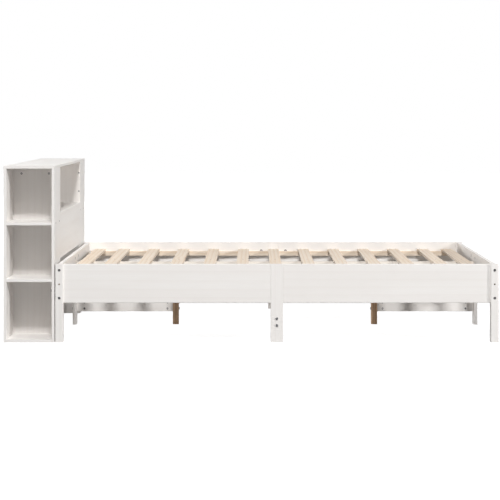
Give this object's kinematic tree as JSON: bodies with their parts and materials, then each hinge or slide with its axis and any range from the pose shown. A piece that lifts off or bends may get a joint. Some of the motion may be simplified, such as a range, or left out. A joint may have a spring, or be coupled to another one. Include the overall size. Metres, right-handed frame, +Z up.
{
  "type": "single bed with bookcase headboard",
  "caption": "Low slatted pine bed frame on square corner legs, with a box bookcase as its headboard: shelf towers open to the sides and a wide niche facing the pillow.",
  "frame": {"origin": "floor level under the middle of the whole piece", "axes": "+X from the headboard to the foot, +Z up, -Y the side called left"},
  "size_m": [2.293, 1.254, 0.818],
  "materials": {
    "white_painted_pine": "white satin paint over pine",
    "natural_pine": "bare planed pine",
    "aged_pine": "darkened unpainted pine",
    "zinc_steel": "bright zinc plated steel",
    "beech_dowel": "bare beech"
  },
  "bodies": {
    "root": {"barrel_nuts": "zinc_steel", "bookcase_bolts": "zinc_steel", "bookcase_spacers": "zinc_steel", "bookcase_top_board": "white_painted_pine", "centre_beam": "natural_pine", "corner_dowels": "beech_dowel", "cross_stretcher": "white_painted_pine", "foot_centre_leg": "aged_pine", "foot_middle_leg": "white_painted_pine", "foot_rail_left": "white_painted_pine", "foot_rail_right": "white_painted_pine", "foot_stretcher": "white_painted_pine", "frame_bolts": "zinc_steel", "head_centre_leg": "aged_pine", "head_middle_leg": "white_painted_pine", "head_rail_left": "white_painted_pine", "head_rail_right": "white_painted_pine", "head_stretcher": "white_painted_pine", "left_cleat": "natural_pine", "left_foot_leg": "white_painted_pine", "left_head_leg": "white_painted_pine", "left_middle_leg": "white_painted_pine", "left_rail_foot": "white_painted_pine", "left_rail_head": "white_painted_pine", "left_tower_back_board": "white_painted_pine", "left_tower_bottom_board": "white_painted_pine", "left_tower_divider": "white_painted_pine", "left_tower_front_board": "white_painted_pine", "left_tower_lower_shelf": "white_painted_pine", "left_tower_upper_shelf": "white_painted_pine", "niche_back_panel": "white_painted_pine", "niche_floor_board": "white_painted_pine", "niche_front_panel": "white_painted_pine", "right_cleat": "natural_pine", "right_foot_leg": "white_painted_pine", "right_head_leg": "white_painted_pine", "right_middle_leg": "white_painted_pine", "right_rail_foot": "white_painted_pine", "right_rail_head": "white_painted_pine", "right_tower_back_board": "white_painted_pine", "right_tower_bottom_board": "white_painted_pine", "right_tower_divider": "white_painted_pine", "right_tower_front_board": "white_painted_pine", "right_tower_lower_shelf": "white_painted_pine", "right_tower_upper_shelf": "white_painted_pine", "slat_01": "natural_pine", "slat_02": "natural_pine", "slat_03": "natural_pine", "slat_04": "natural_pine", "slat_05": "natural_pine", "slat_06": "natural_pine", "slat_07": "natural_pine", "slat_08": "natural_pine", "slat_09": "natural_pine", "slat_10": "natural_pine", "slat_11": "natural_pine", "slat_12": "natural_pine", "slat_13": "natural_pine"}
  },
  "joints": []
}
